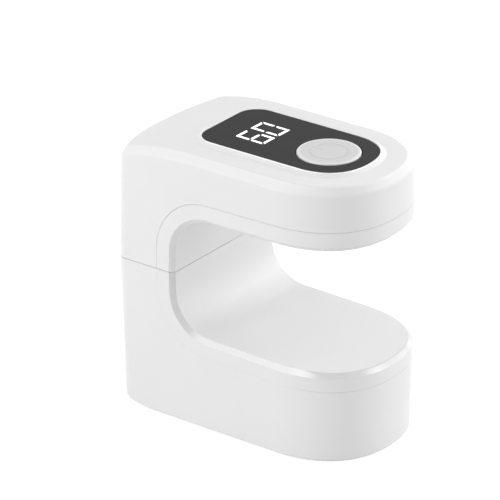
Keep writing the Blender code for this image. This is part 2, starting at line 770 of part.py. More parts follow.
def make_lower_housing(form, hollow, places):
    """The base's outer shell: floor, screw bosses, cell cradles, board posts, foot pockets, socket slot."""
    shell = make_shell("lower_housing", form, hollow, upper=False, cover=False)
    floor = FLOOR_TOP - FLOOR_WALL / 2
    for place in places["base"]:
        post(shell, place, SCREW_HEAD / 2 + CLEARANCE + POST_WALL, floor, base_boss_top())
        drill(shell, place, SCREW_HEAD / 2 + CLEARANCE, 0, base_boss_top() - SCREW_WEB)
        drill(shell, place, SCREW_DIAMETER / 2 + CLEARANCE, 0, REST_UNDER)
    for share in (0.2, 0.8):
        join(shell, cradle(CELL_FRONT_Y + share * CELL_LENGTH))
    for place in charge_post_places():
        post(shell, place, POST_WALL, floor, CHARGE_UNDER - CLEARANCE)
    for place in foot_places():
        drill(shell, place, FOOT_DIAMETER / 2 + CLEARANCE, 0, FOOT_PROUD + FOOT_RECESS)
    cut(shell, socket_prism("slot", CLEARANCE, CHARGE_BACK_Y, BACK_Y + WALL))
    return shell


def make_base_cover(form, hollow, places):
    """The hand rest and the lower inner wall, with the posts that its screws go into."""
    shell = make_shell("base_cover", form, hollow, upper=False, cover=True)
    plate = REST_UNDER + COVER_WALL / 2
    foot = base_boss_top() + CLEARANCE
    for place in places["base"]:
        post(shell, place, SCREW_DIAMETER / 2 + CLEARANCE + POST_WALL, foot, plate)
        drill(shell, place, SCREW_DIAMETER / 2 + CLEARANCE, 0, foot + SCREW_BITE + CLEARANCE)
    return shell


# Top: window and button

def make_display_window():
    """The smoked window with its bevelled edge and the button's hole."""
    window = prism("display_window", window_outline(0), WINDOW_UNDER, WINDOW_TOP)
    shape = bmesh.new()
    shape.from_mesh(window.data)
    rim = [edge for edge in shape.edges if all(vert.co.z > BEZEL_TOP for vert in edge.verts)]
    bmesh.ops.bevel(shape, geom=rim, offset=WINDOW_BEVEL, segments=1, affect="EDGES")
    shape.to_mesh(window.data)
    shape.free()
    hole = BUTTON_DIAMETER / 2 + CLEARANCE
    cut(window, rod("hole", hole, 0, 2 * HEIGHT, 0, BUTTON_Y, TURN_STEPS))
    return window


def make_power_button():
    """A dished cap with a retaining flange and a stem down to the switch, its origin on its own axis."""
    radius = BUTTON_DIAMETER / 2
    flange = radius + FLANGE_WIDTH
    stem = STEM_DIAMETER / 2
    stem_foot = SWITCH_TOP + PLUNGER_PROUD + CLEARANCE
    profile = [(0, stem_foot), (stem, stem_foot), (stem, FLANGE_UNDER), (flange, FLANGE_UNDER),
               (flange, FLANGE_TOP), (radius, FLANGE_TOP), (radius, BUTTON_TOP - BUTTON_EDGE),
               (radius - BUTTON_EDGE, BUTTON_TOP), (0, BUTTON_TOP)]
    button = turned("power_button", [(r, z - BUTTON_TOP) for r, z in profile], TURN_STEPS)
    button.location = (0, BUTTON_Y, BUTTON_TOP)
    return button


def make_switch():
    """The tact switch's body and the plunger that the button pushes."""
    half = SWITCH_SIZE / 2
    body = box("switch_body", (-half, BUTTON_Y - half, SWITCH_UNDER), (half, BUTTON_Y + half, SWITCH_TOP))
    well = SWITCH_TOP - PLUNGER_DEPTH - BUTTON_TRAVEL - CLEARANCE
    drill(body, (0, BUTTON_Y), PLUNGER_DIAMETER / 2 + CLEARANCE, well, HEIGHT)
    top = SWITCH_TOP + PLUNGER_PROUD
    plunger = rod("switch_plunger", PLUNGER_DIAMETER / 2, -PLUNGER_PROUD - PLUNGER_DEPTH, 0)
    plunger.location = (0, BUTTON_Y, top)
    return body, plunger


# Boards and what they carry

def make_control_board(places):
    """The board under the window."""
    half = CONTROL_WIDTH / 2
    outline = rounded_rectangle(-half, CONTROL_FRONT_Y, half, CONTROL_BACK_Y, BOARD_CORNER)
    board = prism("control_board", outline, CONTROL_UNDER, CONTROL_TOP)
    for place in places["control"]:
        drill(board, place, SMALL_SCREW_DIAMETER / 2 + CLEARANCE, 0, HEIGHT)
    return board


def make_digit_display():
    """The two-digit display block close under the window."""
    half = DISPLAY_WIDTH / 2
    middle = BUTTON_Y + DISPLAY_SETBACK
    low = (-half, middle - DISPLAY_DEPTH / 2, CONTROL_TOP + CLEARANCE)
    return box("digit_display", low, (half, middle + DISPLAY_DEPTH / 2, WINDOW_UNDER - CLEARANCE))


def make_lamp_board(places):
    """The board that carries the LEDs."""
    half = LAMP_BOARD_WIDTH / 2
    outline = rounded_rectangle(-half, LAMP_BOARD_FRONT_Y, half, LAMP_BOARD_BACK_Y, BOARD_CORNER)
    board = prism("lamp_board", outline, LAMP_BOARD_UNDER, LAMP_BOARD_TOP)
    for place in places["lamp"]:
        drill(board, place, SMALL_SCREW_DIAMETER / 2 + CLEARANCE, 0, HEIGHT)
    return board


def make_leds():
    """UV LEDs with domed lenses that look down through the lamp cover."""
    radius = LED_DIAMETER / 2
    flange = LED_FLANGE / 2
    seat = COVER_TOP + CLEARANCE
    dome_foot = ARM_UNDER + LED_RECESS
    dome_rise = min(radius, (seat - dome_foot) * 0.75)
    profile = [(0, dome_foot)]
    for step in range(1, DOME_STEPS + 1):
        angle = math.pi / 2 * step / DOME_STEPS
        profile.append((radius * math.sin(angle), dome_foot + dome_rise * (1 - math.cos(angle))))
    profile += [(radius, seat), (flange, seat), (flange, LED_TOP), (0, LED_TOP)]
    first = turned("uv_led_1", profile, SMALL_TURN_STEPS)
    return repeat(first, "uv_led", led_places())


def make_charge_board():
    """The charging board in the foot of the column."""
    half = CHARGE_WIDTH / 2
    low = (-half, CHARGE_FRONT_Y, CHARGE_UNDER)
    return box("charge_board", low, (half, CHARGE_BACK_Y, CHARGE_TOP))


def make_charge_socket():
    """The charging socket: a round-ended shell with a tongue inside, open to the back."""
    socket = socket_prism("charge_socket", 0, SOCKET_MOUTH_Y - SOCKET_LENGTH, SOCKET_MOUTH_Y)
    floor = SOCKET_MOUTH_Y - SOCKET_LENGTH * 0.8
    cut(socket, socket_prism("mouth", -SOCKET_SHELL, floor, SOCKET_MOUTH_Y + WALL))
    half = SOCKET_WIDTH / 2 - SOCKET_HEIGHT / 2
    tongue = box("tongue", (-half, floor - SOCKET_SHELL, SOCKET_Z - SOCKET_TONGUE / 2),
                 (half, SOCKET_MOUTH_Y - SOCKET_RECESS, SOCKET_Z + SOCKET_TONGUE / 2))
    join(socket, tongue)
    return socket


def make_cell():
    """The round rechargeable cell in its cradles."""
    radius = CELL_DIAMETER / 2
    edge = radius / 12
    cap = radius / 3
    rise = edge
    profile = [(0, -CELL_LENGTH / 2), (radius - edge, -CELL_LENGTH / 2), (radius, edge - CELL_LENGTH / 2),
               (radius, CELL_LENGTH / 2 - edge - rise), (radius - edge, CELL_LENGTH / 2 - rise),
               (cap, CELL_LENGTH / 2 - rise), (cap, CELL_LENGTH / 2), (0, CELL_LENGTH / 2)]
    cell = lay_along_y(turned("battery_cell", profile, TURN_STEPS))
    cell.location = (0, (CELL_FRONT_Y + CELL_BACK_Y) / 2, CELL_Z)
    return cell


# Cables

def make_ribbon_cable():
    """The flat cable up the column from the charge board to the control board."""
    low = (-RIBBON_WIDTH / 2, RIBBON_Y - RIBBON_THICKNESS / 2, CHARGE_TOP + CLEARANCE)
    high = (RIBBON_WIDTH / 2, RIBBON_Y + RIBBON_THICKNESS / 2, CONTROL_UNDER - CLEARANCE)
    return box("ribbon_cable", low, high)


def make_lamp_cable():
    """The short flat cable from the control board down to the lamp board."""
    y = LAMP_BOARD_BACK_Y - LAMP_SCREW_INSET - SCREW_HEAD
    low = (-RIBBON_WIDTH / 2, y - RIBBON_THICKNESS / 2, LAMP_BOARD_TOP + CLEARANCE)
    return box("lamp_cable", low, (RIBBON_WIDTH / 2, y + RIBBON_THICKNESS / 2, CONTROL_UNDER - CLEARANCE))


def make_cell_lead():
    """The metal strip from the cell's end down to the charge board."""
    start = CELL_BACK_Y + CLEARANCE
    end = CHARGE_FRONT_Y + LEAD_WIDTH / 2
    thick = RIBBON_THICKNESS
    profile = [(start, CELL_Z), (end, CELL_Z), (end, CHARGE_TOP + CLEARANCE),
               (end - thick, CHARGE_TOP + CLEARANCE), (end - thick, CELL_Z - thick), (start, CELL_Z - thick)]
    return side_prism("cell_lead", profile, LEAD_WIDTH / 2)


# Feet and screws

def repeat(first, name, places, height=0.0, flip=False):
    """Copies of one piece that share its mesh, numbered from one."""
    pieces = []
    for number, (x, y) in enumerate(places, start=1):
        piece = first
        if number > 1:
            piece = bpy.data.objects.new(f"{name}_{number}", first.data)
            bpy.context.scene.collection.objects.link(piece)
        piece.location = (x, y, height)
        if flip:
            piece.rotation_euler = (math.pi, 0, 0)
        pieces.append(piece)
    return pieces


def make_feet():
    """Rubber feet set into pockets in the floor."""
    radius = FOOT_DIAMETER / 2
    top = FOOT_PROUD + FOOT_RECESS - CLEARANCE
    edge = FOOT_PROUD / 2
    profile = [(0, 0), (radius - edge, 0), (radius, edge), (radius, top), (0, top)]
    return repeat(turned("foot_1", profile, SMALL_TURN_STEPS), "foot", foot_places())


def make_screws(places):
    """Every screw: under the base, under the arm, up into the control board's posts, down into the lamp board's."""
    seat = base_boss_top() - SCREW_WEB - CLEARANCE
    length = SCREW_WEB + 2 * CLEARANCE + SCREW_BITE
    base = pan_screw("base_screw_1", SCREW_DIAMETER, SCREW_HEAD, SCREW_HEAD_HEIGHT, length)
    screws = repeat(base, "base_screw", places["base"], seat)
    cover = pan_screw("cover_screw_1", SCREW_DIAMETER, SCREW_HEAD, SCREW_HEAD_HEIGHT, length)
    screws += repeat(cover, "cover_screw", places["cover"], cover_boss_top() - SCREW_WEB - CLEARANCE)
    small = (SMALL_SCREW_DIAMETER, SMALL_SCREW_HEAD, SMALL_SCREW_HEAD_HEIGHT)
    through = CLEARANCE + BOARD_THICKNESS + CLEARANCE
    control = pan_screw("control_screw_1", *small, through + SMALL_SCREW_BITE)
    screws += repeat(control, "control_screw", places["control"], CONTROL_UNDER - CLEARANCE)
    lamp = pan_screw("lamp_screw_1", *small, through + LED_FLANGE_HEIGHT)
    screws += repeat(lamp, "lamp_screw", places["lamp"], LAMP_BOARD_TOP + CLEARANCE, flip=True)
    return screws


# Assembly

def finish(lamp, materials, finish_name, pieces):
    """Give pieces their finish, smooth their round faces and hang them under the lamp."""
    for piece in pieces:
        piece.data.materials.clear()
        piece.data.materials.append(materials[finish_name])
        piece.data.shade_smooth()
        piece.data.set_sharp_from_angle(angle=math.radians(30))
        piece.parent = lamp


def main():
    """Build every piece of the lamp."""
    lamp = start_scene()
    materials = make_materials()
    places = screw_places()
    form = c_form("form")
    hollow = c_hollow("hollow")
    shells = [make(form, hollow, places) for make in
              (make_upper_housing, make_lamp_cover, make_lower_housing, make_base_cover)]
    for helper in (form, hollow):
        bpy.data.objects.remove(helper)
    switch_body, plunger = make_switch()
    finish(lamp, materials, "white_abs", shells)
    finish(lamp, materials, "smoked_acrylic", [make_display_window()])
    finish(lamp, materials, "button_abs", [make_power_button()])
    finish(lamp, materials, "black_nylon", [switch_body, plunger, make_digit_display()])
    finish(lamp, materials, "board", [make_control_board(places), make_charge_board()])
    finish(lamp, materials, "lamp_board", [make_lamp_board(places)])
    finish(lamp, materials, "led", make_leds())
    finish(lamp, materials, "cell_wrap", [make_cell()])
    finish(lamp, materials, "steel", [make_charge_socket(), make_cell_lead(), *make_screws(places)])
    finish(lamp, materials, "cable", [make_ribbon_cable(), make_lamp_cable()])
    finish(lamp, materials, "rubber", make_feet())


main()
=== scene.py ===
"""The looks of a cordless C-shaped UV LED nail lamp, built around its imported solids.

Metres, +Z up. The round nose faces -Y and the column stands at +Y.
"""
import math

import bmesh
import bpy
from mathutils import Matrix, Quaternion, Vector
from mathutils.bvhtree import BVHTree


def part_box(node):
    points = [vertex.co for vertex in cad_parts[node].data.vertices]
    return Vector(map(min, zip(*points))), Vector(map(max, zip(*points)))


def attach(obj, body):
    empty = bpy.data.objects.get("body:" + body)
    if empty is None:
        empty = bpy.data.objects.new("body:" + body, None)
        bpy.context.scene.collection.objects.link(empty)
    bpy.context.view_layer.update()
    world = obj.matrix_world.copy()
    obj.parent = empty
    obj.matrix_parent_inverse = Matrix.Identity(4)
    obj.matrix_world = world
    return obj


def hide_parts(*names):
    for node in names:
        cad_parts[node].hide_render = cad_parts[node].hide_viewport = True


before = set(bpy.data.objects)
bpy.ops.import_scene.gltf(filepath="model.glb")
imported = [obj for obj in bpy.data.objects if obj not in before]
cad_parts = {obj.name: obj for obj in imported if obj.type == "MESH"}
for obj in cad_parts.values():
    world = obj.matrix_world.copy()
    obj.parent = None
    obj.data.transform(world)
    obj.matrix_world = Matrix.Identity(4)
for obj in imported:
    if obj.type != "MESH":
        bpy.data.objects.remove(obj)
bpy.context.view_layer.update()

MM = 0.001

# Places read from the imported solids
WINDOW_LOW, WINDOW_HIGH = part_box("display_window")
WINDOW_HALF = WINDOW_HIGH.x
ARC_Y = WINDOW_LOW.y + WINDOW_HALF
BUTTON_LOW, BUTTON_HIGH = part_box("power_button")
BUTTON_Y = (BUTTON_LOW.y + BUTTON_HIGH.y) / 2
DISPLAY_LOW, DISPLAY_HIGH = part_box("digit_display")
SOCKET_LOW, SOCKET_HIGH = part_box("charge_socket")

# Camera, at the photograph's viewing angle
VIEW_AZIMUTH = -53.27
VIEW_ELEVATION = 24.98
VIEW_ROLL = -0.15
VIEW_DISTANCE = 1275.0 * MM
VIEW_LENS = 279.1
VIEW_SENSOR = 36.0
AIM_HEIGHT = 49.3 * MM
AIM_RIGHT = -7.63 * MM
AIM_UP = 7.68 * MM

# Shells
UPPER_SHELLS = ("upper_housing", "lamp_cover")
LOWER_SHELLS = ("lower_housing", "base_cover")
MERGE = 0.0005 * MM
FLAT_ANGLE = 0.2
SHARP_ANGLE = 32.0

# Rim of the finger gap: the share of polish and painted shade on each cover, the least bend at the
# rim's borders and the longest step across it
RIM_POLISH_AND_SHADE = {"lamp_cover": 0.3, "base_cover": 0.9}
RIM_ANGLE = 30.0
RIM_STEP = 0.8 * MM

# Seams: the widest gap between two shells, and the share of it that each of them closes
SEAM_REACH = 0.32 * MM
SPLIT_CLOSE = 0.2
ARM_CLOSE = 0.32
BASE_CLOSE = 0.45
NOSE_CLOSE = 0.36
NOSE_START = -30.0 * MM

# Window and its polished lip
WINDOW_CORNER = 7.5 * MM
WINDOW_POWER = 2.3
WINDOW_CHAMFER = 0.3 * MM
WINDOW_STEPS = 72
SIDE_STEPS = 36
BACK_STEPS = 22
CORNER_STEPS = 18
LIP_GAP = 0.05 * MM
LIP_WIDTH = 0.5 * MM
LIP_PROUD = 0.08 * MM
LIP_DEPTH = 0.6 * MM

# Lit digits
DIGIT_WIDTH = 6.45 * MM
DIGIT_HEIGHT = 11.3 * MM
DIGIT_STROKE = 1.0 * MM
DIGIT_GAP = 0.85 * MM
DIGIT_JOIN = 0.15 * MM
DIGIT_PITCH = 8.1 * MM
DIGIT_LEAN = 0.02
DIGIT_THICKNESS = 0.04 * MM
DIGITS_X = -0.36 * MM
DIGITS_AHEAD = 0.62 * MM

# Bars that are lit in a six and in a zero, by their letters
LIT_BARS = ("acdefg", "abcdef")

# Power button
CAP_RADIUS = 10.5 * MM
CAP_EDGE = 0.45 * MM
CAP_FACE = CAP_RADIUS - CAP_EDGE
CAP_DISH = 0.12 * MM
CAP_STEPS = 128
EDGE_STEPS = 6
FLANGE_THICKNESS = 0.8 * MM
FLANGE_GAP = 0.3 * MM
STEM_RADIUS = 2.2 * MM
SIGN_RADIUS = 6.15 * MM
SIGN_STROKE = 0.9 * MM
SIGN_OPEN = 17.0
BAR_STROKE = 0.4 * MM
BAR_LENGTH = 4.6 * MM
SIGN_THICKNESS = 0.03 * MM

# Rings of the button's face as shares of its radius, closest where its colour changes
FACE_RINGS = (0.96, 0.92, 0.88, 0.84, 0.8, 0.6, 0.4, 0.2)

# Small turned pieces
TURN_STEPS = 40
LED_LENS_RADIUS = 2.5 * MM
LED_FLANGE_HEIGHT = 1.4 * MM
LED_DOME_STEPS = 10
LED_DOME_SHARE = 0.75
FOOT_EDGE = 0.25 * MM
FOOT_DISH_SHARE = 0.6
FOOT_RING_SHARE = 0.75
FOOT_ROUND_SHARE = 0.3
SCREW_HEAD_HEIGHT = 1.6 * MM
SCREW_FACE_SHARE = 0.55
SCREW_FACE_RISE = 0.03
SCREW_SHOULDER_SHARE = 0.85
SCREW_SHOULDER_RISE = 0.4
SCREW_SHANK = 1.3 * MM
CROSS_LENGTH = 2.7 * MM
CROSS_WIDTH = 0.6 * MM
CROSS_DEPTH = 0.9 * MM
CROSS_TAPER = 0.55
CONTACT_COUNT = 6
CONTACT_WIDTH = 0.35 * MM
CONTACT_LENGTH = 3.2 * MM
CONTACT_THICKNESS = 0.05 * MM
CONTACT_PITCH = 0.75 * MM
TONGUE_HALF = 0.35 * MM
TONGUE_RECESS = 0.6 * MM

# Stage and lights
FLOOR_HALF = 3.0
FLOOR_DROP = 0.05 * MM
FLOOR_COLOR = "#E4E4E4"
SHADOW_COLOR = "#6A6A6A"
FLOOR_GLOW = 0.95
AMBIENT = 0.505

# Soft boxes by name: azimuth and elevation in degrees, side in metres, power in watts
SOFT_BOXES = {
    "left_box": (-120, 6, 0.5, 4.75),
    "rear_top_box": (-160, 60, 0.5, 1.15),
    "front_box": (0, 32, 0.5, 1.0),
    "front_top_box": (20, 60, 0.5, 0.7),
    "right_low_box": (40, 6, 0.5, 2.4),
    "right_box": (60, 32, 0.5, 1.5),
    "far_right_box": (100, 32, 0.5, 1.6),
}

# Boxes that light glosses alone and give the polished rim its sheen, in the same terms
SHEEN_BOXES = {
    "rear_left_sheen": (-140, 47, 0.35, 1.85),
    "left_sheen": (-118, 54, 0.35, 1.65),
    "left_top_sheen": (-98, 57, 0.3, 2.4),
    "right_top_sheen": (38, 43, 0.35, 3.8),
    "right_sheen": (66, 27, 0.35, 0.9),
    "far_right_sheen": (88, 11, 0.35, 0.9),
}
BOX_DISTANCE = 1.0


# Node and colour helpers

# Sockets of a Mix node by number, because their names repeat: its share, then for each kind of value
# the first input, the second input and the output
MIX_SHARE = 0
MIX_NUMBER = (2, 3, 0)
MIX_COLOR = (6, 7, 2)


def add(tree, kind, links=None, values=None, **settings):
    """Add a node: settings are its properties, values fill its sockets and links feed them."""
    node = tree.nodes.new(kind)
    for name, value in settings.items():
        setattr(node, name, value)
    for socket, value in (values or {}).items():
        node.inputs[socket].default_value = value
    for socket, source in (links or {}).items():
        tree.links.new(source, node.inputs[socket])
    return node


def srgb(code):
    """Linear colour from an sRGB hex code."""
    shares = [int(code[at:at + 2], 16) / 255 for at in (1, 3, 5)]
    return (*[s / 12.92 if s <= 0.04045 else ((s + 0.055) / 1.055) ** 2.4 for s in shares], 1.0)


def start_material(name, **values):
    """A Principled material and its tree."""
    material = bpy.data.materials.new(name)
    material.use_nodes = True
    tree = material.node_tree
    shader = tree.nodes["Principled BSDF"]
    for socket, value in values.items():
        shader.inputs[socket.replace("_", " ")].default_value = value
    return material, tree, shader


def grain(tree, size, detail=2.0):
    """Even noise on the piece, with features of a real size."""
    place = add(tree, "ShaderNodeTexCoord").outputs["Object"]
    return add(tree, "ShaderNodeTexNoise", {"Vector": place}, {"Scale": 1 / size, "Detail": detail})


def vary_color(tree, shader, source, first, second, start=0.35, end=0.65):
    """Blend from one colour to another over a surface, between two levels of the source."""
    ramp = add(tree, "ShaderNodeValToRGB", {"Fac": source})
    for element, level, color in zip(ramp.color_ramp.elements, (start, end), (first, second)):
        element.position = level
        element.color = srgb(color)
    tree.links.new(ramp.outputs["Color"], shader.inputs["Base Color"])
    return ramp


def vary_roughness(tree, shader, source, low, high):
    """Let the roughness wander between two values."""
    span = add(tree, "ShaderNodeMapRange", {"Value": source}, {"To Min": low, "To Max": high})
    tree.links.new(span.outputs["Result"], shader.inputs["Roughness"])


def raise_grain(tree, shader, source, depth, strength=1.0):
    """Bump of a real depth."""
    bump = add(tree, "ShaderNodeBump", {"Height": source}, {"Distance": depth, "Strength": strength})
    tree.links.new(bump.outputs["Normal"], shader.inputs["Normal"])


def polish_and_shade_rim(tree, shader, color, roughness):
    """Give faces marked as rim a smoother gloss and a deeper colour, which is painted shade."""
    rim = add(tree, "ShaderNodeAttribute", attribute_name="rim").outputs["Fac"]
    finishes = (("Base Color", "RGBA", MIX_COLOR, srgb(color)),
                ("Roughness", "FLOAT", MIX_NUMBER, roughness))
    for socket, kind, (first, second, result), value in finishes:
        plain = shader.inputs[socket].links[0].from_socket
        mix = add(tree, "ShaderNodeMix", {MIX_SHARE: rim, first: plain}, {second: value}, data_type=kind)
        tree.links.new(mix.outputs[result], shader.inputs[socket])


# Materials

def moulded_abs():
    """White ABS from a spark-eroded mould: opaque and even, satin from its grain, polished on the rim with
    painted shade.
    """
    material, tree, shader = start_material("white_moulded_abs", IOR=1.54, Specular_IOR_Level=0.3)
    mottle = grain(tree, 18 * MM).outputs["Fac"]
    vary_color(tree, shader, mottle, "#EDEDED", "#EEEEEE")
    vary_roughness(tree, shader, mottle, 0.40, 0.46)
    # Painted shade: the rim's colour is darker than the rest of the housing
    polish_and_shade_rim(tree, shader, "#DEDEDE", 0.2)
    raise_grain(tree, shader, grain(tree, 0.25 * MM, 3.0).outputs["Fac"], 0.012 * MM, 0.4)
    return material


def polished_lip_abs_painted_highlight():
    """The same white ABS where the mould was polished, with a sharp highlight; its brighter colour is a
    painted highlight.
    """
    material, tree, shader = start_material("white_polished_lip_abs_painted_highlight", IOR=1.54)
    mottle = grain(tree, 6 * MM).outputs["Fac"]
    # Painted highlight: a colour brighter than the housing's white
    vary_color(tree, shader, mottle, "#FAFAFA", "#FCFCFC")
    vary_roughness(tree, shader, mottle, 0.10, 0.16)
    return material


def smoked_acrylic():
    """Smoked acrylic with an anti-glare face: near black, with only a soft grey veil of reflection."""
    material, tree, shader = start_material("smoked_acrylic", IOR=1.49, Specular_IOR_Level=0.06)
    veil = grain(tree, 9 * MM, 3.0).outputs["Fac"]
    vary_color(tree, shader, veil, "#2A2A2A", "#2E2E2E")
    vary_roughness(tree, shader, veil, 0.30, 0.36)
    raise_grain(tree, shader, grain(tree, 0.2 * MM).outputs["Fac"], 0.004 * MM, 0.4)
    return material


def lit_segment():
    """White light from the display: even and self-lit, a touch softer between the diffuser's grains."""
    material, tree, shader = start_material("lit_segment", Base_Color=srgb("#FFFFFF"), Roughness=0.4)
    glow = add(tree, "ShaderNodeMapRange", {"Value": grain(tree, 0.5 * MM).outputs["Fac"]},
               {"To Min": 0.9, "To Max": 1.0})
    shader.inputs["Emission Color"].default_value = srgb("#FFFFFF")
    tree.links.new(glow.outputs["Result"], shader.inputs["Emission Strength"])
    return material


def button_abs():
    """Pale grey moulded ABS of the button: finer grained than the housing, paler round its edge as a
    painted highlight.
    """
    material, tree, shader = start_material("grey_moulded_abs", IOR=1.54, Specular_IOR_Level=0.4)
    reach = add(tree, "ShaderNodeAttribute", attribute_name="reach").outputs["Fac"]
    # Painted highlight: the colour turns paler towards the button's edge
    vary_color(tree, shader, reach, "#D5D5D5", "#EAEAEA", 0.87, 0.94)
    mottle = grain(tree, 7 * MM).outputs["Fac"]
    vary_roughness(tree, shader, mottle, 0.32, 0.38)
    raise_grain(tree, shader, grain(tree, 0.2 * MM, 3.0).outputs["Fac"], 0.008 * MM, 0.4)
    return material


def sign_ink():
    """Thin grey print of the power sign: matt, a shade darker than the button."""
    material, tree, shader = start_material("grey_print", IOR=1.5)
    speck = grain(tree, 0.3 * MM).outputs["Fac"]
    vary_color(tree, shader, speck, "#CBCBCB", "#CFCFCF")
    vary_roughness(tree, shader, speck, 0.5, 0.6)
    return material


def led_epoxy():
    """UV LED: a violet die seen through a pale yellow phosphor and a clear domed epoxy lens."""
    material, tree, shader = start_material("led_epoxy", IOR=1.53, Roughness=0.06, Coat_Weight=0.6)
    reach = add(tree, "ShaderNodeAttribute", attribute_name="reach").outputs["Fac"]
    ramp = vary_color(tree, shader, reach, "#6B57B8", "#EFE7B4", 0.30, 0.42)
    ramp.color_ramp.elements.new(0.95).color = srgb("#E6E6E0")
    return material


def foot_rubber():
    """Black silicone rubber: matt, with a fine skin that shows as a dull bloom."""
    material, tree, shader = start_material("black_silicone", IOR=1.41)
    bloom = grain(tree, 1.5 * MM, 4.0).outputs["Fac"]
    vary_color(tree, shader, bloom, "#2A2A2A", "#343434")
    vary_roughness(tree, shader, bloom, 0.7, 0.85)
    raise_grain(tree, shader, grain(tree, 0.2 * MM, 3.0).outputs["Fac"], 0.02 * MM, 0.6)
    return material


def plated_steel():
    """Zinc-plated steel: bright grey metal with a slightly cloudy skin."""
    material, tree, shader = start_material("plated_steel", Metallic=1.0)
    cloud = grain(tree, 0.8 * MM, 4.0).outputs["Fac"]
    vary_color(tree, shader, cloud, "#C4C5C8", "#D6D6D8")
    vary_roughness(tree, shader, cloud, 0.22, 0.38)
    return material


def gold_plate():
    """Gold-plated contacts: warm yellow metal, rolled smooth."""
    material, tree, shader = start_material("gold_plate", Metallic=1.0)
    cloud = grain(tree, 0.4 * MM).outputs["Fac"]
    vary_color(tree, shader, cloud, "#D9B45A", "#E4C270")
    vary_roughness(tree, shader, cloud, 0.2, 0.3)
    return material


def black_nylon():
    """Glass-filled black nylon of the switch and the display block: dull, faintly streaked."""
    material, tree, shader = start_material("black_nylon", IOR=1.53)
    streak = grain(tree, 0.6 * MM, 4.0).outputs["Fac"]
    vary_color(tree, shader, streak, "#1C1C1C", "#262626")
    vary_roughness(tree, shader, streak, 0.45, 0.6)
    return material


def solder_mask(name, lacquer, track):
    """A circuit board: glossy lacquer with the copper tracks showing through as paler bars."""
    material, tree, shader = start_material(name, IOR=1.55, Coat_Weight=0.3)
    place = add(tree, "ShaderNodeTexCoord").outputs["Object"]
    bars = add(tree, "ShaderNodeTexBrick", {"Vector": place},
               {"Scale": 1 / (6 * MM), "Mortar Size": 0.04, "Brick Width": 0.9, "Row Height": 0.3,
                "Color1": srgb(lacquer), "Color2": srgb(lacquer), "Mortar": srgb(track)})
    tree.links.new(bars.outputs["Color"], shader.inputs["Base Color"])
    vary_roughness(tree, shader, grain(tree, 2 * MM).outputs["Fac"], 0.3, 0.42)
    return material


def shrink_wrap():
    """Blue PVC shrink wrap of the cell: glossy film with slight ripples."""
    material, tree, shader = start_material("blue_shrink_wrap", IOR=1.53)
    ripple = grain(tree, 5 * MM).outputs["Fac"]
    vary_color(tree, shader, ripple, "#2C5FA8", "#3468B2")
    vary_roughness(tree, shader, ripple, 0.2, 0.32)
    raise_grain(tree, shader, ripple, 0.05 * MM, 0.4)
    return material


def flat_cable():
    """Grey PVC ribbon cable: the wires show as fine ribs, about 2 mm apart."""
    material, tree, shader = start_material("grey_ribbon_cable", IOR=1.53)
    place = add(tree, "ShaderNodeTexCoord").outputs["Object"]
    ribs = add(tree, "ShaderNodeTexWave", {"Vector": place}, {"Scale": 1 / (6.3 * MM)})
    vary_color(tree, shader, ribs.outputs["Fac"], "#C9C9C6", "#DADAD7")
    vary_roughness(tree, shader, ribs.outputs["Fac"], 0.4, 0.55)
    raise_grain(tree, shader, ribs.outputs["Fac"], 0.1 * MM, 0.5)
    return material


# Mesh helpers

def arc(centre, radius, start, end, steps):
    """Points along an arc, angles in degrees."""
    turns = [math.radians(start + (end - start) * step / steps) for step in range(steps + 1)]
    return [(centre[0] + radius * math.cos(t), centre[1] + radius * math.sin(t)) for t in turns]


def straight(start, end, steps):
    """Points along a straight line after its start."""
    shares = [step / steps for step in range(1, steps + 1)]
    return [(start[0] + (end[0] - start[0]) * s, start[1] + (end[1] - start[1]) * s) for s in shares]


def at_height(outline, z):
    """A flat outline lifted to a height."""
    return [(x, y, z) for x, y in outline]


def skin(shape, rings):
    """Faces from each closed ring to the next, and from the last back to the first."""
    corners = [[shape.verts.new(point) for point in ring] for ring in rings]
    count = len(corners[0])
    for lower, upper in zip(corners, corners[1:] + corners[:1]):
        for step in range(count):
            ahead = (step + 1) % count
            shape.faces.new((lower[step], lower[ahead], upper[ahead], upper[step]))


def turned(shape, profile, steps):
    """A solid of revolution about Z from (radius, height) points that start and end on the axis."""
    rings = []
    for radius, z in profile:
        if radius == 0:
            rings.append([shape.verts.new((0, 0, z))])
        else:
            outline = arc((0, 0), radius, 0, 360, steps)[:-1]
            rings.append([shape.verts.new(point) for point in at_height(outline, z)])
    for lower, upper in zip(rings, rings[1:]):
        for step in range(steps):
            ahead = (step + 1) % steps
            corners = [lower[step % len(lower)], lower[ahead % len(lower)],
                       upper[ahead % len(upper)], upper[step % len(upper)]]
            shape.faces.new(dict.fromkeys(corners))


def plate(shape, outline, low, high):
    """A closed plate of one outline."""
    under = [shape.verts.new(point) for point in at_height(outline, low)]
    over = [shape.verts.new(point) for point in at_height(outline, high)]
    count = len(outline)
    shape.faces.new(under[::-1])
    shape.faces.new(over)
    for step in range(count):
        ahead = (step + 1) % count
        shape.faces.new((under[step], under[ahead], over[ahead], over[step]))


def to_object(name, shape, smooth=True, turn_out=True):
    """An object from a closed bmesh, its faces turned outwards and its round faces smooth."""
    if turn_out:
        bmesh.ops.recalc_face_normals(shape, faces=shape.faces)
    mesh = bpy.data.meshes.new(name)
    shape.to_mesh(mesh)
    shape.free()
    if smooth:
        mesh.shade_smooth()
        mesh.set_sharp_from_angle(angle=math.radians(SHARP_ANGLE))
    item = bpy.data.objects.new(name, mesh)
    bpy.context.scene.collection.objects.link(item)
    return item


def mark_reach(item, radius):
    """Keep each point's distance from the Z axis on the mesh, as a share of a radius."""
    reach = item.data.attributes.new("reach", "FLOAT", "POINT")
    for vert, value in zip(item.data.vertices, reach.data):
        value.value = vert.co.xy.length / radius


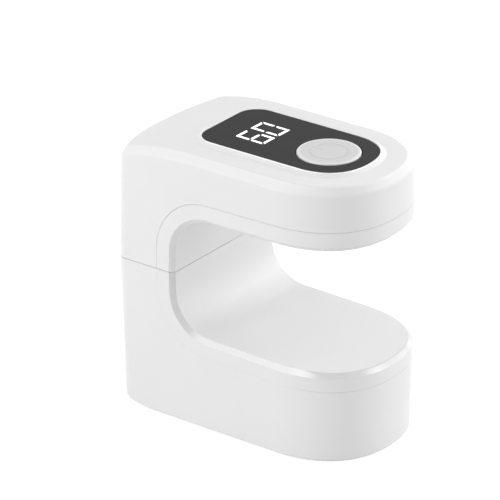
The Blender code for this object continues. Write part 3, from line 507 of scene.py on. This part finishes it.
def bake(item):
    """Apply every modifier on an object to its mesh."""
    view = bpy.context.evaluated_depsgraph_get()
    mesh = bpy.data.meshes.new_from_object(item.evaluated_get(view))
    item.modifiers.clear()
    item.data = mesh
    return item


def even_normals(item):
    """Keep flat faces flat and let only the rounds between them turn."""
    modifier = item.modifiers.new("even_normals", "WEIGHTED_NORMAL")
    modifier.keep_sharp = True
    return bake(item)


def finished(item, material, body, slot, *nodes):
    """Give a piece its finish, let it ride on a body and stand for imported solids."""
    item.data.materials.clear()
    item.data.materials.append(material)
    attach(item, body)
    if nodes:
        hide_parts(*nodes)
    return item


# Copies in rows and columns

def rows_and_columns():
    """A geometry tree that repeats one piece in columns along X and rows along Y."""
    tree = bpy.data.node_groups.new("rows_and_columns", "GeometryNodeTree")
    sockets = (("Piece", "NodeSocketObject"), ("First", "NodeSocketVector"), ("Columns", "NodeSocketInt"),
               ("Rows", "NodeSocketInt"), ("Pitch X", "NodeSocketFloat"), ("Pitch Y", "NodeSocketFloat"),
               ("Finish", "NodeSocketMaterial"))
    for name, kind in sockets:
        tree.interface.new_socket(name, in_out="INPUT", socket_type=kind)
    tree.interface.new_socket("Geometry", in_out="OUTPUT", socket_type="NodeSocketGeometry")
    given = add(tree, "NodeGroupInput").outputs
    piece = add(tree, "GeometryNodeObjectInfo", {"Object": given["Piece"]}).outputs["Geometry"]
    across = add(tree, "ShaderNodeCombineXYZ", {"X": given["Pitch X"]}).outputs["Vector"]
    along = add(tree, "ShaderNodeCombineXYZ", {"Y": given["Pitch Y"]}).outputs["Vector"]
    column_points = add(tree, "GeometryNodeMeshLine",
                        {"Count": given["Columns"], "Start Location": given["First"], "Offset": across})
    row_points = add(tree, "GeometryNodeMeshLine", {"Count": given["Rows"], "Offset": along})
    row = add(tree, "GeometryNodeInstanceOnPoints",
              {"Points": column_points.outputs["Mesh"], "Instance": piece})
    block = add(tree, "GeometryNodeInstanceOnPoints",
                {"Points": row_points.outputs["Mesh"], "Instance": row.outputs["Instances"]})
    real = add(tree, "GeometryNodeRealizeInstances", {"Geometry": block.outputs["Instances"]})
    painted = add(tree, "GeometryNodeSetMaterial",
                  {"Geometry": real.outputs["Geometry"], "Material": given["Finish"]})
    add(tree, "NodeGroupOutput", {"Geometry": painted.outputs["Geometry"]})
    return tree


def repeat(tree, name, source, material, **sizes):
    """Bake copies of a source piece to one mesh and drop the source."""
    holder = bpy.data.objects.new(name, bpy.data.meshes.new(name))
    bpy.context.scene.collection.objects.link(holder)
    modifier = holder.modifiers.new("copies", "NODES")
    modifier.node_group = tree
    values = {"Piece": source, "Finish": material, **sizes}
    for socket in tree.interface.items_tree:
        if socket.in_out == "INPUT":
            modifier[socket.identifier] = values[socket.name]
    bake(holder)
    bpy.data.objects.remove(source)
    return holder


def set_layout(prefix, columns, rows):
    """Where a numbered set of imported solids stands: the first one's foot and the pitches to the next."""
    def foot(number):
        low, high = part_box(f"{prefix}_{number}")
        return Vector(((low.x + high.x) / 2, (low.y + high.y) / 2, low.z))
    first = foot(1)
    pitch_x = foot(2).x - first.x if columns > 1 else 0.0
    pitch_y = foot(columns + 1).y - first.y if rows > 1 else 0.0
    return {"First": first, "Columns": columns, "Rows": rows, "Pitch X": pitch_x, "Pitch Y": pitch_y}


def numbered(prefix, count):
    """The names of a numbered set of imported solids."""
    return [f"{prefix}_{number}" for number in range(1, count + 1)]


# Housing shells

def shell_form(node):
    """A packed shell with its points merged, its flat faces joined and its rim laid flat."""
    shape = bmesh.new()
    shape.from_mesh(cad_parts[node].data)
    bmesh.ops.remove_doubles(shape, verts=shape.verts, dist=MERGE)
    bmesh.ops.dissolve_limit(shape, angle_limit=math.radians(FLAT_ANGLE),
                             verts=shape.verts, edges=shape.edges)
    if node in RIM_POLISH_AND_SHADE:
        flatten_rim(shape, RIM_POLISH_AND_SHADE[node])
    return shape


def short_steps(point):
    """The points that a short edge joins to a point."""
    return [edge.other_vert(point) for edge in point.link_edges if edge.calc_length() < RIM_STEP]


def rung(start, first, borders):
    """The points of one short way across the rim, from one sharp border to the other."""
    way = [start, first]
    while way[-1] not in borders:
        ahead = [point for point in short_steps(way[-1]) if point not in way]
        if len(ahead) != 1:
            return []
        way.append(ahead[0])
    return way


def flatten_rim(shape, polish_and_shade):
    """Lay the rim's narrow strips flat between their sharp borders, as one chamfer, and mark how much
    polish and painted shade it takes.
    """
    # The rim mark carries both the rim's polish and its painted shade
    mark = shape.faces.layers.float.new("rim")
    bent = [edge for edge in shape.edges if edge.calc_face_angle(0.0) > math.radians(RIM_ANGLE)]
    borders = dict.fromkeys(point for edge in bent for point in edge.verts)
    for start in borders:
        for first in short_steps(start):
            way = rung(start, first, borders)
            for number, point in enumerate(way[1:-1], 1):
                point.co = start.co.lerp(way[-1].co, number / (len(way) - 1))
                for face in point.link_faces:
                    face[mark] = polish_and_shade


def seam_share(node, other, y):
    """The share of its gap to another shell that a shell closes, at a place along Y."""
    if (node in UPPER_SHELLS) != (other in UPPER_SHELLS):
        return SPLIT_CLOSE
    if node in UPPER_SHELLS:
        return ARM_CLOSE
    return NOSE_CLOSE if y < NOSE_START else BASE_CLOSE


def close_seams(shapes):
    """Draw facing seam walls together, to the hairline that screwed shells close to."""
    surfaces = {node: BVHTree.FromBMesh(shape) for node, shape in shapes.items()}
    for node, shape in shapes.items():
        for vert in shape.verts:
            rest = vert.co.copy()
            for other, surface in surfaces.items():
                point = surface.find_nearest(rest, SEAM_REACH)[0]
                if point and other != node:
                    vert.co += (point - rest) * seam_share(node, other, rest.y)


def make_shells(material):
    """The four moulded shells, each shaded so that only its rounds turn."""
    shapes = {node: shell_form(node) for node in UPPER_SHELLS + LOWER_SHELLS}
    close_seams(shapes)
    for node, shape in shapes.items():
        shell = even_normals(to_object(f"{node}_shell", shape, turn_out=False))
        finished(shell, material, "housing", "white_abs", node)


# Window, lip and digits

def bow(half):
    """The window's blunt round front, from its left end round to its right end."""
    points = []
    for step in range(WINDOW_STEPS + 1):
        turn = math.pi * step / WINDOW_STEPS
        across = abs(math.cos(turn)) ** (2 / WINDOW_POWER)
        ahead = abs(math.sin(turn)) ** (2 / WINDOW_POWER)
        points.append((-half * math.copysign(across, math.cos(turn)), ARC_Y - half * ahead))
    return points


def window_outline(grow):
    """The window in plan: a blunt round front and a square back with rounded corners."""
    half = WINDOW_HALF + grow
    back = WINDOW_HIGH.y + grow
    corner = WINDOW_CORNER + grow
    outline = bow(half)
    outline += straight((half, ARC_Y), (half, back - corner), SIDE_STEPS)
    outline += arc((half - corner, back - corner), corner, 0, 90, CORNER_STEPS)[1:]
    outline += straight((half - corner, back), (corner - half, back), BACK_STEPS)
    outline += arc((corner - half, back - corner), corner, 90, 180, CORNER_STEPS)[1:]
    return outline + straight((-half, back - corner), (-half, ARC_Y), SIDE_STEPS)[:-1]


def hole_outline(radius):
    """The button's hole, with one point for each point of the window's outline."""
    points = []
    for x, y in window_outline(0):
        turn = math.atan2(y - BUTTON_Y, x)
        points.append((radius * math.cos(turn), BUTTON_Y + radius * math.sin(turn)))
    return points


def make_window(material):
    """The smoked window with its chamfered edge and the button's hole."""
    under = WINDOW_LOW.z
    top = WINDOW_HIGH.z
    hole = CAP_RADIUS + FLANGE_GAP
    shape = bmesh.new()
    skin(shape, [at_height(window_outline(0), under),
                 at_height(window_outline(0), top - WINDOW_CHAMFER),
                 at_height(window_outline(-WINDOW_CHAMFER), top),
                 at_height(hole_outline(hole + WINDOW_CHAMFER / 2), top),
                 at_height(hole_outline(hole), top - WINDOW_CHAMFER / 2),
                 at_height(hole_outline(hole), under)])
    window = to_object("smoked_window", shape)
    return finished(window, material, "housing", "smoked_acrylic", "display_window")


def make_lip(material):
    """The thin polished lip of the housing round the window."""
    top = WINDOW_HIGH.z + LIP_PROUD
    quarter = LIP_WIDTH / 4
    shape = bmesh.new()
    skin(shape, [at_height(window_outline(LIP_GAP), top - LIP_DEPTH),
                 at_height(window_outline(LIP_GAP), top - quarter / 2),
                 at_height(window_outline(LIP_GAP + quarter), top),
                 at_height(window_outline(LIP_GAP + 3 * quarter), top),
                 at_height(window_outline(LIP_GAP + 4 * quarter), top - quarter),
                 at_height(window_outline(LIP_GAP + 4 * quarter), top - LIP_DEPTH)])
    return finished(to_object("window_lip", shape), material, "housing", "white_abs")


def segment_outlines():
    """The seven bars of a digit from its lower left corner, by their letters.

    Bars meet close at the top left and bottom right and stand apart elsewhere.
    """
    wide = DIGIT_WIDTH
    tall = DIGIT_HEIGHT
    bar = DIGIT_STROKE
    tip = bar / 2
    gap = DIGIT_GAP / 2
    join = DIGIT_JOIN / 2
    mid = tall / 2
    return {
        "a": [(join, tall), (wide - gap, tall), (wide - bar - gap, tall - bar), (bar + join, tall - bar)],
        "b": [(wide, tall - gap), (wide, mid + gap), (wide - tip, mid + gap),
              (wide - bar, mid + tip + gap), (wide - bar, tall - bar - gap)],
        "c": [(wide, mid - gap), (wide, join), (wide - bar, bar + join),
              (wide - bar, mid - tip - gap), (wide - tip, mid - gap)],
        "d": [(gap, 0), (bar + gap, bar), (wide - bar - join, bar), (wide - join, 0)],
        "e": [(0, mid - gap), (tip, mid - gap), (bar, mid - tip - gap), (bar, bar + gap), (0, gap)],
        "f": [(0, tall - join), (bar, tall - bar - join), (bar, mid + tip + gap), (tip, mid + gap),
              (0, mid + gap)],
        "g": [(tip + gap, mid), (bar + gap, mid + tip), (wide - bar - gap, mid + tip),
              (wide - tip - gap, mid), (wide - bar - gap, mid - tip), (bar + gap, mid - tip)],
    }


def make_digits(material):
    """The lit number sixty over the display block, its top towards the back."""
    bars = segment_outlines()
    middle_y = (DISPLAY_LOW.y + DISPLAY_HIGH.y) / 2
    foot_y = middle_y - DIGITS_AHEAD - DIGIT_HEIGHT / 2
    surface = WINDOW_HIGH.z
    shape = bmesh.new()
    for number, lit in enumerate(LIT_BARS):
        left = DIGITS_X + (number - 0.5) * DIGIT_PITCH - DIGIT_WIDTH / 2
        for letter in lit:
            outline = [(left + x + DIGIT_LEAN * y, foot_y + y) for x, y in bars[letter]]
            plate(shape, outline, surface - DIGIT_THICKNESS / 4, surface + DIGIT_THICKNESS)
    digits = to_object("lit_digits", shape, smooth=False)
    return finished(digits, material, "housing", "smoked_acrylic")


# Power button

def dish(radius):
    """How far the button's face lies below its edge."""
    return CAP_DISH * (1 - (radius / CAP_FACE) ** 2)


def cap_profile():
    """The button's section: stem, flange, wall, rounded edge and a slightly dished face."""
    top = BUTTON_HIGH.z
    flange_top = WINDOW_LOW.z - FLANGE_GAP
    flange_under = flange_top - FLANGE_THICKNESS
    flange = BUTTON_HIGH.x
    profile = [(0, BUTTON_LOW.z), (STEM_RADIUS, BUTTON_LOW.z), (STEM_RADIUS, flange_under),
               (flange, flange_under), (flange, flange_top), (CAP_RADIUS, flange_top)]
    for step in range(EDGE_STEPS + 1):
        turn = math.pi / 2 * step / EDGE_STEPS
        radius = CAP_RADIUS - CAP_EDGE * (1 - math.cos(turn))
        profile.append((radius, top - CAP_EDGE * (1 - math.sin(turn))))
    for share in FACE_RINGS:
        profile.append((CAP_FACE * share, top - dish(CAP_FACE * share)))
    return profile + [(0, top - dish(0))]


def make_button(material):
    """The round power button."""
    shape = bmesh.new()
    turned(shape, cap_profile(), CAP_STEPS)
    cap = to_object("power_button_cap", shape)
    mark_reach(cap, CAP_RADIUS)
    cap.data.transform(Matrix.Translation((0, BUTTON_Y, 0)))
    return finished(cap, material, "button", "button_abs", "power_button")


def make_power_sign(material):
    """The power sign on the button: an open ring and a bar towards the display."""
    shape = bmesh.new()
    inner = SIGN_RADIUS - SIGN_STROKE / 2
    outer = SIGN_RADIUS + SIGN_STROKE / 2
    start = 90 + SIGN_OPEN
    end = 450 - SIGN_OPEN
    level = BUTTON_HIGH.z - dish(SIGN_RADIUS)
    middle = (0, BUTTON_Y)
    ring = arc(middle, outer, start, end, CAP_STEPS) + arc(middle, inner, end, start, CAP_STEPS)
    plate(shape, ring, level - SIGN_THICKNESS, level + SIGN_THICKNESS)
    half = BAR_STROKE / 2
    far = BUTTON_Y + SIGN_RADIUS + SIGN_STROKE
    near = far - BAR_LENGTH
    bar = [(-half, near), (half, near), (half, far), (-half, far)]
    plate(shape, bar, level - SIGN_THICKNESS, level + SIGN_THICKNESS)
    return finished(to_object("power_sign", shape), material, "button", "button_abs")


# LEDs, feet, screws and contacts

def make_leds(tree, material):
    """The domed LEDs that look down from the arm."""
    low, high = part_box("uv_led_1")
    height = high.z - low.z
    flange = (high.x - low.x) / 2
    rise = height - LED_FLANGE_HEIGHT
    profile = [(0, 0)]
    for step in range(1, LED_DOME_STEPS + 1):
        turn = math.pi / 2 * step / LED_DOME_STEPS
        profile.append((LED_LENS_RADIUS * math.sin(turn), LED_DOME_SHARE * rise * (1 - math.cos(turn))))
    profile += [(LED_LENS_RADIUS, rise), (flange, rise), (flange, height), (0, height)]
    shape = bmesh.new()
    turned(shape, profile, TURN_STEPS)
    lens = to_object("led_lens", shape)
    mark_reach(lens, LED_LENS_RADIUS)
    leds = repeat(tree, "uv_leds", lens, material, **set_layout("uv_led", 2, 3))
    return finished(leds, material, "housing", "led", *numbered("uv_led", 6))


def make_feet(tree, material):
    """The rubber feet, with a rounded edge and a shallow dish underneath."""
    low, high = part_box("foot_1")
    height = high.z - low.z
    radius = (high.x - low.x) / 2
    corner = FOOT_EDGE * FOOT_ROUND_SHARE
    profile = [(0, FOOT_EDGE), (radius * FOOT_DISH_SHARE, FOOT_EDGE / 2), (radius * FOOT_RING_SHARE, 0),
               (radius - FOOT_EDGE, 0), (radius - corner, corner), (radius, FOOT_EDGE),
               (radius, height), (0, height)]
    shape = bmesh.new()
    turned(shape, profile, TURN_STEPS)
    foot = to_object("foot", shape)
    feet = repeat(tree, "rubber_feet", foot, material, **set_layout("foot", 2, 2))
    return finished(feet, material, "housing", "rubber", *numbered("foot", 4))


def cross_recess():
    """The tool for a screw's cross recess: two tapered bars, pointing up."""
    shape = bmesh.new()
    long_half = CROSS_LENGTH / 2
    wide_half = CROSS_WIDTH / 2
    arm = [(long_half, wide_half), (wide_half, wide_half), (wide_half, long_half)]
    outline = []
    for _ in range(4):
        outline += arm
        arm = [(-y, x) for x, y in arm]
    plate(shape, outline, -CROSS_DEPTH, CROSS_DEPTH)
    for vert in shape.verts:
        if vert.co.z > 0:
            vert.co.xy *= CROSS_TAPER
    return to_object("cross_recess", shape, smooth=False)


def make_screws(tree, material, prefix, columns, rows):
    """A set of pan-head screws, head down, with cross recesses."""
    low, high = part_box(f"{prefix}_1")
    head = (high.x - low.x) / 2
    length = high.z - low.z
    crown = SCREW_HEAD_HEIGHT / 2
    profile = [(0, 0), (head * SCREW_FACE_SHARE, head * SCREW_FACE_RISE),
               (head * SCREW_SHOULDER_SHARE, crown * SCREW_SHOULDER_RISE), (head, crown),
               (head, SCREW_HEAD_HEIGHT), (SCREW_SHANK, SCREW_HEAD_HEIGHT),
               (SCREW_SHANK, length - SCREW_SHANK), (SCREW_SHANK / 3, length), (0, length)]
    shape = bmesh.new()
    turned(shape, profile, TURN_STEPS)
    screw = to_object("screw", shape)
    tool = cross_recess()
    modifier = screw.modifiers.new("recess", "BOOLEAN")
    modifier.object = tool
    bake(screw)
    bpy.data.objects.remove(tool)
    screws = repeat(tree, f"{prefix}s", screw, material, **set_layout(prefix, columns, rows))
    return finished(screws, material, "housing", "steel", *numbered(prefix, columns * rows))


def make_socket(steel):
    """The charging socket's shell, smooth round its ends."""
    shape = bmesh.new()
    shape.from_mesh(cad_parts["charge_socket"].data)
    bmesh.ops.remove_doubles(shape, verts=shape.verts, dist=MERGE)
    socket = to_object("charge_socket_shell", shape)
    return finished(socket, steel, "housing", "steel", "charge_socket")


def make_contacts(tree, gold):
    """The gold contacts on the socket's tongue."""
    shape = bmesh.new()
    half = CONTACT_WIDTH / 2
    outline = [(-half, -CONTACT_LENGTH), (half, -CONTACT_LENGTH), (half, 0), (-half, 0)]
    plate(shape, outline, -CONTACT_THICKNESS, CONTACT_THICKNESS)
    contact = to_object("contact", shape, smooth=False)
    middle_z = (SOCKET_LOW.z + SOCKET_HIGH.z) / 2
    first = Vector((-CONTACT_PITCH * (CONTACT_COUNT - 1) / 2, SOCKET_HIGH.y - 2 * TONGUE_RECESS,
                    middle_z + TONGUE_HALF))
    contacts = repeat(tree, "socket_contacts", contact, gold, First=first, Columns=CONTACT_COUNT, Rows=1,
                      **{"Pitch X": CONTACT_PITCH, "Pitch Y": 0.0})
    return finished(contacts, gold, "housing", "steel")


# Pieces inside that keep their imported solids

def dress_inside(steel):
    """Finishes for the pieces that the housing closes in."""
    nylon = black_nylon()
    control = solder_mask("green_solder_mask", "#1F5A33", "#3F8A56")
    cable = flat_cable()
    dressed = {
        "switch_body": nylon, "switch_plunger": nylon, "digit_display": nylon,
        "control_board": control, "charge_board": control,
        "lamp_board": solder_mask("white_solder_mask", "#E8E8E4", "#D2D0C6"),
        "battery_cell": shrink_wrap(), "cell_lead": steel, "ribbon_cable": cable, "lamp_cable": cable,
    }
    for node in numbered("control_screw", 4) + numbered("lamp_screw", 2):
        dressed[node] = steel
    for node, material in dressed.items():
        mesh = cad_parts[node].data
        mesh.materials.clear()
        mesh.materials.append(material)


# Stage, light and camera

def shows_white(tree):
    """One where a ray comes from the eye, from a gloss or through glass, else zero."""
    path = add(tree, "ShaderNodeLightPath").outputs
    white = path["Is Camera Ray"]
    for kind in ("Is Glossy Ray", "Is Transmission Ray"):
        either = add(tree, "ShaderNodeMath", operation="MAXIMUM")
        tree.links.new(white, either.inputs[0])
        tree.links.new(path[kind], either.inputs[1])
        white = either.outputs["Value"]
    return white


def make_floor():
    """A pale floor that looks white and keeps a faint shadow."""
    shape = bmesh.new()
    bmesh.ops.create_grid(shape, x_segments=1, y_segments=1, size=FLOOR_HALF)
    floor = to_object("floor", shape, smooth=False)
    floor.location.z = -FLOOR_DROP
    material = bpy.data.materials.new("white_floor")
    material.use_nodes = True
    tree = material.node_tree
    tree.nodes.clear()
    pale = add(tree, "ShaderNodeBsdfDiffuse", values={"Color": srgb(FLOOR_COLOR)})
    faint = add(tree, "ShaderNodeBsdfDiffuse", values={"Color": srgb(SHADOW_COLOR)})
    white = add(tree, "ShaderNodeEmission", values={"Strength": FLOOR_GLOW})
    bright = add(tree, "ShaderNodeAddShader")
    tree.links.new(faint.outputs["BSDF"], bright.inputs[0])
    tree.links.new(white.outputs["Emission"], bright.inputs[1])
    both = add(tree, "ShaderNodeMixShader", {"Fac": shows_white(tree)})
    tree.links.new(pale.outputs["BSDF"], both.inputs[1])
    tree.links.new(bright.outputs["Shader"], both.inputs[2])
    add(tree, "ShaderNodeOutputMaterial", {"Surface": both.outputs["Shader"]})
    floor.data.materials.append(material)


def make_world():
    """Even light from all round, white to the eye."""
    world = bpy.data.worlds.new("studio")
    bpy.context.scene.world = world
    world.use_nodes = True
    tree = world.node_tree
    tree.nodes.clear()
    ambient = add(tree, "ShaderNodeBackground", values={"Color": srgb("#FFFFFF"), "Strength": AMBIENT})
    white = add(tree, "ShaderNodeBackground", values={"Color": srgb("#FFFFFF"), "Strength": 1.0})
    both = add(tree, "ShaderNodeMixShader", {"Fac": shows_white(tree)})
    tree.links.new(ambient.outputs["Background"], both.inputs[1])
    tree.links.new(white.outputs["Background"], both.inputs[2])
    add(tree, "ShaderNodeOutputWorld", {"Surface": both.outputs["Shader"]})


def looking_back(azimuth, elevation):
    """The direction from the lamp towards a place seen at an azimuth and elevation."""
    turn = math.radians(azimuth)
    lift = math.radians(elevation)
    return Vector((math.sin(turn) * math.cos(lift), -math.cos(turn) * math.cos(lift), math.sin(lift)))


def make_lights():
    """Square soft boxes round the lamp, each turned to its middle; the sheen boxes light no matt face."""
    middle = Vector((0, 0, AIM_HEIGHT))
    for name, (azimuth, elevation, side, power) in {**SOFT_BOXES, **SHEEN_BOXES}.items():
        data = bpy.data.lights.new(name, "AREA")
        data.shape = "SQUARE"
        data.size = side
        data.energy = power
        box = bpy.data.objects.new(name, data)
        bpy.context.scene.collection.objects.link(box)
        back = looking_back(azimuth, elevation)
        box.location = middle + back * BOX_DISTANCE
        box.rotation_euler = (-back).to_track_quat("-Z", "Y").to_euler()
        box.visible_diffuse = name in SOFT_BOXES


def make_camera():
    """The camera at the photograph's angle and framing."""
    back = looking_back(VIEW_AZIMUTH, VIEW_ELEVATION)
    level = (-back).to_track_quat("-Z", "Y")
    turn = level @ Quaternion((0, 0, 1), math.radians(VIEW_ROLL))
    right = turn @ Vector((1, 0, 0))
    up = turn @ Vector((0, 1, 0))
    aim = Vector((0, 0, AIM_HEIGHT)) + right * AIM_RIGHT + up * AIM_UP
    data = bpy.data.cameras.new("camera")
    data.lens = VIEW_LENS
    data.sensor_width = VIEW_SENSOR
    camera = bpy.data.objects.new("camera", data)
    bpy.context.scene.collection.objects.link(camera)
    camera.location = aim + back * VIEW_DISTANCE
    camera.rotation_euler = turn.to_euler()
    bpy.context.scene.camera = camera


def main():
    """Dress the lamp and set the stage."""
    bpy.context.scene.view_settings.view_transform = "Standard"
    make_camera()
    make_lights()
    make_world()
    make_floor()
    make_shells(moulded_abs())
    make_window(smoked_acrylic())
    make_lip(polished_lip_abs_painted_highlight())
    make_digits(lit_segment())
    make_button(button_abs())
    make_power_sign(sign_ink())
    steel = plated_steel()
    tree = rows_and_columns()
    make_leds(tree, led_epoxy())
    make_feet(tree, foot_rubber())
    make_screws(tree, steel, "base_screw", 2, 2)
    make_screws(tree, steel, "cover_screw", 2, 1)
    make_socket(steel)
    make_contacts(tree, gold_plate())
    dress_inside(steel)


main()
